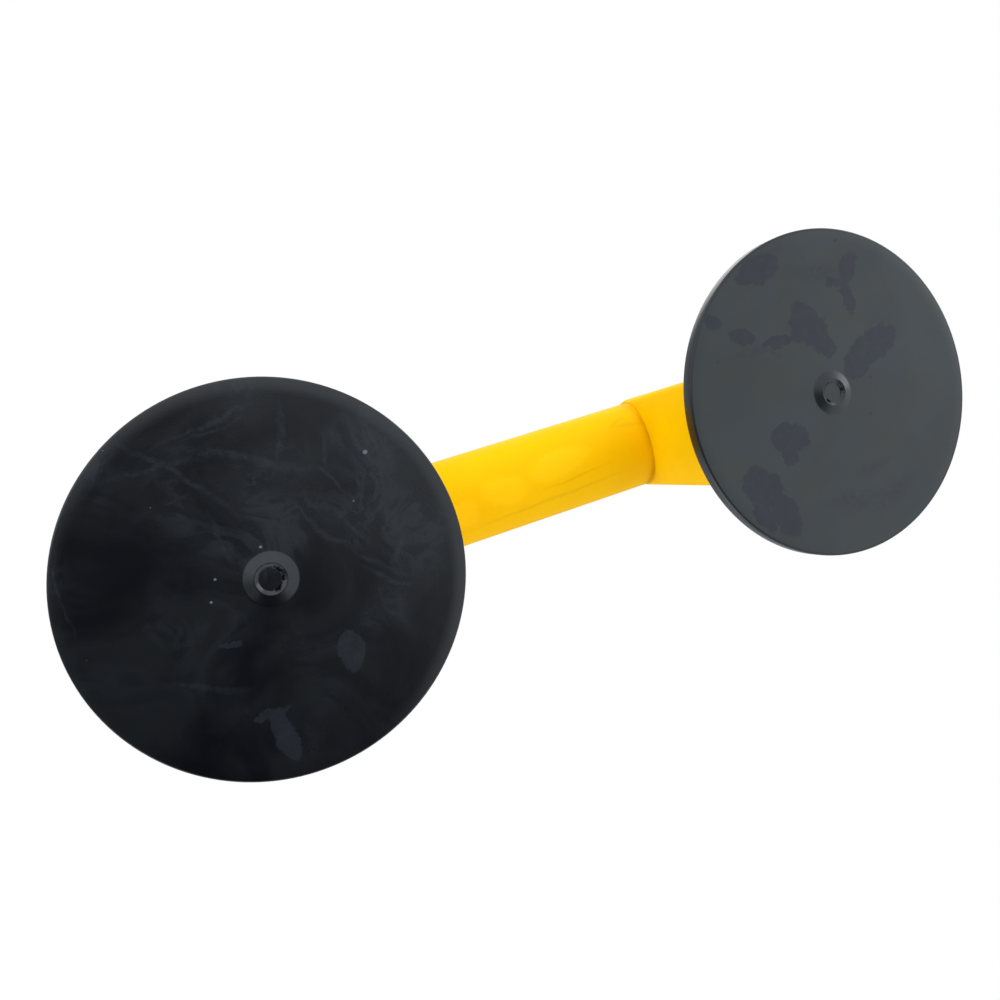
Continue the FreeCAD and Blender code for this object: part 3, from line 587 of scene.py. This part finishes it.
# left pad: rubber and film set darker than on the right pad, as painted shade
padRubberLeftShade = {
    "rubber": (0.0016, 0.0020, 0.0034, 1),
    "film": (0.0030, 0.0038, 0.0054, 1),
    "filmShade": (0.0036, 0.0042, 0.0052, 1),
    "filmFrom": 0.0,
    "cleaned": 0.0,
    "specular": 0.43,
    "roughness": 0.25,
    "patchCell": 0.8,
    "patchColour": (0.0150, 0.0175, 0.0220, 1),
    "patchShare": 0.75,
    "patches": {
        "bottom": ((-10, 45.5), 8, 3.4, 80),
        "bottomSide": ((-13, 38.5), 4, 1.8, 10),
        "small": ((16, 28.5), 6.5, 3.2, 96),
        "middle": ((-16, 14.5), 3, 1.2, 30),
    },
    "strokeColour": (0.0150, 0.0175, 0.0220, 1),
    "strokeShare": 0.6,
    "strokes": {
        "crossing": ((-17, -37), 18, 0.8, 55),
        "topArc": ((-6, -48), 13, 0.7, -8),
        "topArcLow": ((-4, -46), 9, 0.6, -4),
        "leftArc": ((-22, -40.5), 12, 0.9, 8),
        "longArc": ((4, -35), 20, 1.2, 22),
        "vertical": ((26.5, -32), 6, 0.7, 88),
        "verticalLow": ((26.5, -23), 6, 0.7, 62),
        "loopHigh": ((40.5, -7), 7, 1.0, 62),
        "loopLow": ((40, 2.5), 6, 0.9, 125),
        "slant": ((29, -7), 6, 0.8, 55),
        "lowSlant": ((33, 6), 8, 0.9, 38),
        "lowSlantTwo": ((33, 10.5), 6.5, 0.7, 38),
        "rightVeil": ((41, -28), 10, 5.0, 95),
        "hubVeil": ((14, -40), 9, 1.0, 112),
        "lowLine": ((-26, 24), 9, 0.7, 24),
        "edgeLine": ((-55, -16), 12, 0.5, 84),
        "ring": ((-7, 39), 2.4, 0.6, -5),
        "hubLine": ((-10, -15), 6, 0.5, 82),
    },
    "smearColour": (0.0110, 0.0130, 0.0165, 1),
    "smearShare": 0.6,
    "speckColour": (0.11, 0.12, 0.13, 1),
    "bits": {
        "right": ((38, -28), 0.7, 0.6, 0),
        "hub": ((0, -10), 0.5, 0.4, 0),
        "left": ((-15, -5), 0.4, 0.35, 0),
        "leftLow": ((-18, 1), 0.4, 0.35, 0),
    },
}


# what both pads share; heights and distances from the hub in millimetres, bump in metres;
# noise is its scale, detail, roughness and, where it has one, distortion
padSkin = {
    "markedBelow": 4.6,
    "faceEnd": (58.8, 59.2),
    "hubStart": (3.2, 3.8),
    "hubEnd": (7.8, 8.5),
    "cloudNoise": (0.035, 5.0, 0.55, 0.6),
    "cloudSpan": (0.32, 0.62),
    "shadeNoise": (0.06, 3.0, 0.5, 0.8),
    "shadeSpan": (0.35, 0.65),
    "wisps": {"Scale": 0.04, "Bend": 3.0, "Thin": 11.0},
    "wispsTowards": (0.5, -0.85, 0),
    "wispsSpan": (-35.0, 15.0),
    "wispsLeast": 0.25,
    "strokeWander": 14.0,
    "strokeEdge": 0.7,
    "fibreNoise": (0.5, 3.0, 0.6),
    "fibreSpan": (0.35, 0.6),
    "fibreLeast": 0.15,
    "patchWander": 7.0,
    "patchEdge": 0.08,
    "thinNoise": (0.25, 4.0, 0.6),
    "thinSpan": (0.35, 0.65),
    "thinLeast": 0.65,
    "dust": {"Spacing": 7.0, "Share": 0.4, "Radius": 0.3},
    "dustShare": 0.7,
    "bitEdge": 0.3,
    "roughSpread": 0.04,
    "smearRough": 0.08,
    "grainScale": 1.8,
    "ringPitch": 0.8,
    "bump": 0.000015,
    "bumpStrength": 0.4,
}


def makePadRubber(name, x, finish, shared):
    material, tree, sockets = newMaterial(name, specular=finish["specular"])
    solid = millimetres(tree, (x, 0, 0))
    height = addNode(tree, "ShaderNodeSeparateXYZ", {"Vector": solid}).outputs["Z"]
    # the marks are laid out flat, so they ride with the rubber when it bends
    vector = vectorCalc(tree, "MULTIPLY", solid, (1, 1, 0))
    reach = vectorLength(tree, vector)
    face = calc(tree, "LESS_THAN", height, shared["markedBelow"])
    face = product(tree, face, remap(tree, reach, *shared["faceEnd"], 1.0, 0.0))

    cloud = noise(tree, vector, *shared["cloudNoise"]).outputs["Fac"]
    film = remap(tree, cloud, *shared["cloudSpan"], finish["filmFrom"], 1.0, True)
    hub = remap(tree, reach, *shared["hubStart"], 0.0, 1.0)
    hub = product(tree, hub, remap(tree, reach, *shared["hubEnd"], 1.0, 0.0))
    clean = calc(tree, "MAXIMUM", hub, remap(tree, reach, *shared["faceEnd"], 0.0, 1.0))
    film = product(tree, film, calc(tree, "SUBTRACT", 1.0, product(tree, clean, finish["cleaned"])))
    shade = noise(tree, vector, *shared["shadeNoise"]).outputs["Fac"]
    shade = remap(tree, shade, *shared["shadeSpan"], 0.0, 1.0, True)
    colour = mixColour(tree, shade, finish["film"], finish["filmShade"])
    colour = mixColour(tree, film, finish["rubber"], colour)

    smear = useGroup(tree, wipedSmears, {"Vector": vector, **shared["wisps"]})["Mask"]
    # the wisps fade out towards one side of the pad
    wispSideFade = vectorDot(tree, vector, shared["wispsTowards"])
    wispSideFade = remap(tree, wispSideFade, *shared["wispsSpan"], shared["wispsLeast"], 1.0)
    smear = product(tree, smear, wispSideFade, finish["smearShare"])
    colour = mixColour(tree, smear, colour, finish["smearColour"])

    bent = bentPlaces(tree, vector, shared["strokeWander"])
    strokes = manyMarks(tree, bent, finish["strokes"], shared["strokeEdge"])
    fibres = noise(tree, vector, *shared["fibreNoise"]).outputs["Fac"]
    fibres = remap(tree, fibres, *shared["fibreSpan"], shared["fibreLeast"], 1.0)
    strokes = product(tree, strokes, fibres, face, finish["strokeShare"])
    colour = mixColour(tree, strokes, colour, finish["strokeColour"])

    broken = brokenPlaces(tree, vector, finish["patchCell"], shared["patchWander"])
    patches = manyMarks(tree, broken, finish["patches"], shared["patchEdge"])
    thin = noise(tree, vector, *shared["thinNoise"]).outputs["Fac"]
    thin = remap(tree, thin, *shared["thinSpan"], shared["thinLeast"], 1.0)
    patches = product(tree, patches, face, finish["patchShare"], thin)
    colour = mixColour(tree, patches, colour, finish["patchColour"])

    dust = useGroup(tree, dustSpecks, {"Vector": vector, **shared["dust"]})["Mask"]
    bits = manyMarks(tree, vector, finish["bits"], shared["bitEdge"])
    dust = calc(tree, "MAXIMUM", product(tree, dust, shared["dustShare"]), bits)
    colour = mixColour(tree, product(tree, dust, face), colour, finish["speckColour"])
    feed(tree, colour, sockets["Base Color"])

    smooth, rough = finish["roughness"] - shared["roughSpread"], finish["roughness"] + shared["roughSpread"]
    rough = remap(tree, film, 0.0, 1.0, smooth, rough)
    feed(tree, calc(tree, "ADD", rough, product(tree, smear, shared["smearRough"])), sockets["Roughness"])
    grain = useGroup(tree, mouldGrain, {"Vector": solid, "Scale": shared["grainScale"]})["Height"]
    rings = useGroup(tree, turnedMarks, {"Vector": solid, "Pitch": shared["ringPitch"]})["Height"]
    addBump(tree, sockets, calc(tree, "ADD", grain, rings), shared["bump"], shared["bumpStrength"])
    return material


# rubber pads, turned about the cup's axis; radii and heights in millimetres, the face at height 0
padShape = {
    "hole": (4.7, 3.6, 1.0),  # radius of the mouth, radius of the floor and depth of the hub's blind hole
    "floorRings": (3.05, 3.25),  # rings on the floor that stay flat where its edge is torn
    # torn places of the floor's edge: middle and half spread in degrees, height
    "tears": {
        "right": ((140, 16, 0.9), (-5, 55, 0.45)),
        "left": ((-38, 26, 0.8), (15, 20, 0.7), (72, 22, 0.8)),
    },
    "jag": {"level": 0.65, "swing": 0.35, "waves": (9, 14)},
    "tip": (5.0, 0.1),  # radius and height of the hub's tip
    "hub": (8.2, 1.2),  # radius and height of the hub's foot on the dished face
    "land": 55.0,  # radius where the flat sealing land begins
    "rim": (60.0, 5.0),  # radius and thickness at the rim
    "backStep": (47.5, 45.5, 6.5),  # outer and inner radius of the step on the back, height inside it
    "boss": (20.0, 16.0, 8.5, 11.0),  # radius at its foot, radius of its wall, heights of shoulder and top
    "shank": 5.1,  # radius of the bore for the stud's shank
    "pocket": (12.1, 5.9, 8.1),  # radius, floor and roof of the pocket for the stud's flange
    "steps": 160,
    # rounds: width and segments
    "rimRound": (0.6, 4),
    "footRound": (0.3, 3),
    "tipRound": (0.15, 3),
}
mergeReach = 1e-6  # points nearer than this are one, in metres
ringReach, ringHeight = 1e-5, 1e-6  # how near a point has to be to count as on a ring, in metres
sharpAngle = math.radians(32)  # edges that bend more than this are shaded sharp


def makePad(side, x, shape):
    mouth, floor, depth = shape["hole"]
    tip, hub, rim = shape["tip"], shape["hub"], shape["rim"]
    outer, inner, back = shape["backStep"]
    foot, wall, shoulder, top = shape["boss"]
    reach, low, high = shape["pocket"]
    line = [
        # blind hole and hub
        (0, depth), *((ring, depth) for ring in shape["floorRings"]), (floor, depth),
        (mouth, tip[1]), tip, hub,
        # face, rim and back
        (shape["land"], 0), (rim[0], 0), rim, (outer, rim[1]), (inner, back),
        # boss, and the pocket that the stud sits in
        (foot, back), (wall, shoulder), (wall, top), (shape["shank"], top),
        (shape["shank"], high), (reach, high), (reach, low), (0, low),
    ]
    mesh = bmesh.new()
    points = [mesh.verts.new((r * mm, 0, z * mm)) for r, z in line]
    edges = [mesh.edges.new(pair) for pair in zip(points, points[1:])]
    bmesh.ops.spin(
        mesh, geom=points + edges, cent=(0, 0, 0), axis=(0, 0, 1),
        angle=math.tau, steps=shape["steps"], use_merge=True)
    bmesh.ops.remove_doubles(mesh, verts=mesh.verts, dist=mergeReach)
    bmesh.ops.recalc_face_normals(mesh, faces=mesh.faces)
    roundRings(mesh, [rim, (rim[0], 0)], *shape["rimRound"])
    roundRings(mesh, [hub], *shape["footRound"])
    roundRings(mesh, [tip, (mouth, tip[1])], *shape["tipRound"])
    tearRing(mesh, (floor, depth), shape["tears"][side], shape["jag"])
    bmesh.ops.recalc_face_normals(mesh, faces=mesh.faces)
    bmesh.ops.translate(mesh, verts=mesh.verts, vec=(x, 0, 0))
    piece = addPiece("rubber_pad_" + side, mesh, padRubber[side])
    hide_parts("pad_" + side)
    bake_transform(piece, "lifter", "draw_" + side, start=(x, 0, 0), end=(x, 0, back * mm))
    easeToRim(piece, x, wall * mm, inner * mm)
    return piece


def onRing(vert, ring):
    radius, height = ring
    reach = math.hypot(vert.co.x, vert.co.y)
    return abs(reach - radius * mm) < ringReach and abs(vert.co.z - height * mm) < ringHeight


def tearRing(mesh, ring, tears, jag):
    coarse, fine = jag["waves"]
    for vert in mesh.verts:
        if onRing(vert, ring):
            turn = math.atan2(vert.co.y, vert.co.x)
            ragged = jag["level"] + jag["swing"] * math.sin(coarse * turn) * math.sin(fine * turn + 1)
            for middle, spread, height in tears:
                away = abs((math.degrees(turn) - middle + 180) % 360 - 180) / spread
                vert.co.z += max(0, 1 - away * away) * ragged * height * mm


def roundRings(mesh, rings, width, segments):
    chosen = []
    for edge in mesh.edges:
        for ring in rings:
            if all(onRing(vert, ring) for vert in edge.verts):
                chosen.append(edge)
    bmesh.ops.bevel(
        mesh, geom=chosen, offset=width * mm, offset_type="OFFSET", affect="EDGES",
        segments=segments, profile=0.5, material=-1, clamp_overlap=True)


def easeToRim(piece, x, inner, outer):
    # the stud draws the middle up and the rim stays, so the share falls off with the distance from the axis
    share = piece.data.attributes["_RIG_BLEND"].data
    for vert in piece.data.vertices:
        reach = math.hypot(vert.co.x - x, vert.co.y)
        t = min(max((outer - reach) / (outer - inner), 0), 1)
        share[vert.index].value = t * t * (3 - 2 * t)


def addPiece(name, mesh, material):
    data = bpy.data.meshes.new(name)
    mesh.to_mesh(data)
    mesh.free()
    data.materials.append(material)
    data.shade_smooth()
    data.set_sharp_from_angle(angle=sharpAngle)
    piece = bpy.data.objects.new(name, data)
    scene.collection.objects.link(piece)
    return piece


padRubber = {
    "right": makePadRubber("padRubberRightSheen", sides["right"], padRubberRightSheen, padSkin),
    "left": makePadRubber("padRubberLeftShade", sides["left"], padRubberLeftShade, padSkin),
}
for side, x in sides.items():
    makePad(side, x, padShape)
print("pads made")


def coatNode(name, material):
    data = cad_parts[name].data
    data.materials.clear()
    data.materials.append(material)


coatNode("grip_tube", gripCoat)
coatNode("tie_rod", rodZinc)
for side, x in sides.items():
    label, cup, upright = side.title(), (x, 0, 0), (0, 0, 0)
    # turned a quarter about X, the pin's height lies along -Y
    across, laid = (x, -pinHeight, 0), (quarterTurn, 0, 0)
    studZinc = makeTurnedMetal("studZinc" + label, cup, upright, turnedParts["stud"], turnedSkin)
    pinZinc = makeTurnedMetal("pinZinc" + label, across, laid, turnedParts["pin"], turnedSkin)
    bushBronze = makeTurnedMetal("bushBronze" + label, cup, upright, turnedParts["bush"], turnedSkin)
    finishes = {
        "housing": castCoat, "wear_plate": plateSteel, "lever": leverPlastic, "stud": studZinc,
        "cross_pin": pinZinc, "pin_clip": pinZinc, "guide_bush": bushBronze,
        "tie_washer": rodZinc, "tie_nut": rodZinc,
    }
    for piece, material in finishes.items():
        coatNode(piece + "_" + side, material)
print("finishes given")


# pale floor, open from below so that the low camera sees the pads through it
floorLook = {
    "size": 4.0,
    "height": -0.0004,
    "colour": (0.80, 0.80, 0.79, 1),
    "cloudColour": (0.84, 0.84, 0.83, 1),
    "roughness": 0.75,
    "specular": 0.2,
    "cloud": (3.0, 4.0),
    "grain": (900.0, 2.0),
    "bump": 0.0001,
    "bumpStrength": 0.15,
    "fade": (0.5, 1.6),
}


def makeFloor(look):
    material, tree, sockets = newMaterial("paleFloor", specular=look["specular"])
    place = addNode(tree, "ShaderNodeTexCoord").outputs["Object"]
    cloud = noise(tree, place, *look["cloud"]).outputs["Fac"]
    grain = noise(tree, place, *look["grain"]).outputs["Fac"]
    feed(tree, mixColour(tree, cloud, look["colour"], look["cloudColour"]), sockets["Base Color"])
    feed(tree, look["roughness"], sockets["Roughness"])
    addBump(tree, sockets, grain, look["bump"], look["bumpStrength"])
    away = remap(tree, vectorLength(tree, place), *look["fade"], 0.0, 1.0, True)
    below = addNode(tree, "ShaderNodeNewGeometry").outputs["Backfacing"]
    clear = addNode(tree, "ShaderNodeBsdfTransparent")
    mixed = addNode(tree, "ShaderNodeMixShader", {0: calc(tree, "MAXIMUM", away, below)})
    shader = tree.nodes["Principled BSDF"]
    tree.links.new(shader.outputs[0], mixed.inputs[1])
    tree.links.new(clear.outputs[0], mixed.inputs[2])
    tree.links.new(mixed.outputs[0], tree.nodes["Material Output"].inputs["Surface"])
    mesh = bmesh.new()
    bmesh.ops.create_grid(mesh, x_segments=1, y_segments=1, size=look["size"] / 2)
    bmesh.ops.translate(mesh, verts=mesh.verts, vec=(0, 0, look["height"]))
    data = bpy.data.meshes.new("floor")
    mesh.to_mesh(data)
    mesh.free()
    data.materials.append(material)
    floor = bpy.data.objects.new("floor", data)
    scene.collection.objects.link(floor)
    floor.visible_shadow = False
    floor.visible_diffuse = False
    floor.visible_glossy = False
    floor.visible_transmission = False


makeFloor(floorLook)


# square lamps: where each stands seen from the target, distance, size, radiance
softboxes = {
    "frontBox": ((0.25, -0.90, -0.36), 1.0, 0.70, 0.3),
    "edgeBox": ((0.90, -0.24, -0.12), 1.0, 0.66, 2.3),
    "topBox": ((0.35, -0.50, 0.80), 1.1, 0.60, 1.45),
    "backBox": ((-0.55, 0.65, 0.55), 1.2, 0.70, 1.2),
}
lightTarget = Vector((0, 0, 0.03))


def addSoftbox(name, towards, distance, size, radiance):
    lamp = bpy.data.lights.new(name, "AREA")
    lamp.shape = "SQUARE"
    lamp.size = size
    lamp.energy = radiance * math.pi * size * size
    box = bpy.data.objects.new(name, lamp)
    scene.collection.objects.link(box)
    away = Vector(towards).normalized()
    box.location = lightTarget + away * distance
    box.rotation_mode = "QUATERNION"
    box.rotation_quaternion = away.to_track_quat("Z", "Y")
    box.visible_camera = False


for name, box in softboxes.items():
    addSoftbox(name, *box)


# plain white to the camera; for light and reflections a tent that is dimmer above, with dark openings below
tent = {
    "wall": 1.68,
    "colour": (0.93, 1.0, 1.08, 1),
    "tilt": (-0.2, -0.02, 0.0),
    "ceiling": 0.38,
    "ceilingSpan": (-0.15, 0.35),
    "openings": {
        # towards, angle where it is dark, angle where the wall starts, light left inside
        "behindCamera": ((-0.14, 0.18, -0.975), 12, 30, 0.02),
        "behindLow": ((-0.12, 0.58, -0.81), 16, 29, 0.02),
        "lowLeft": ((-0.85, 0.12, -0.50), 16, 32, 0.05),
    },
}


def makeWorld(look):
    world = bpy.data.worlds.new("studioTent")
    scene.world = world
    world.use_nodes = True
    tree = world.node_tree
    tree.nodes.clear()
    way = addNode(tree, "ShaderNodeTexCoord").outputs["Generated"]
    parts = addNode(tree, "ShaderNodeSeparateXYZ", {"Vector": way}).outputs
    tilt = vectorDot(tree, way, look["tilt"])
    wall = calc(tree, "MULTIPLY", look["wall"], calc(tree, "ADD", 1.0, tilt))
    for towards, dark, edge, inside in look["openings"].values():
        middle = Vector(towards).normalized()
        near = vectorDot(tree, way, middle)
        span = math.cos(math.radians(edge)), math.cos(math.radians(dark))
        share = remap(tree, near, *span, 1.0, inside, True)
        wall = calc(tree, "MULTIPLY", wall, share)
    high = remap(tree, parts["Z"], *look["ceilingSpan"], 1.0, look["ceiling"], True)
    strength = product(tree, wall, high)
    lit = addNode(tree, "ShaderNodeBackground", {"Color": look["colour"], "Strength": strength})
    seen = addNode(tree, "ShaderNodeBackground", {"Color": (1, 1, 1, 1), "Strength": 1.0})
    toCamera = addNode(tree, "ShaderNodeLightPath").outputs["Is Camera Ray"]
    choose = addNode(tree, "ShaderNodeMixShader", {0: toCamera})
    tree.links.new(lit.outputs[0], choose.inputs[1])
    tree.links.new(seen.outputs[0], choose.inputs[2])
    tree.links.new(choose.outputs[0], addNode(tree, "ShaderNodeOutputWorld").inputs["Surface"])


makeWorld(tent)
print("stage and light set")
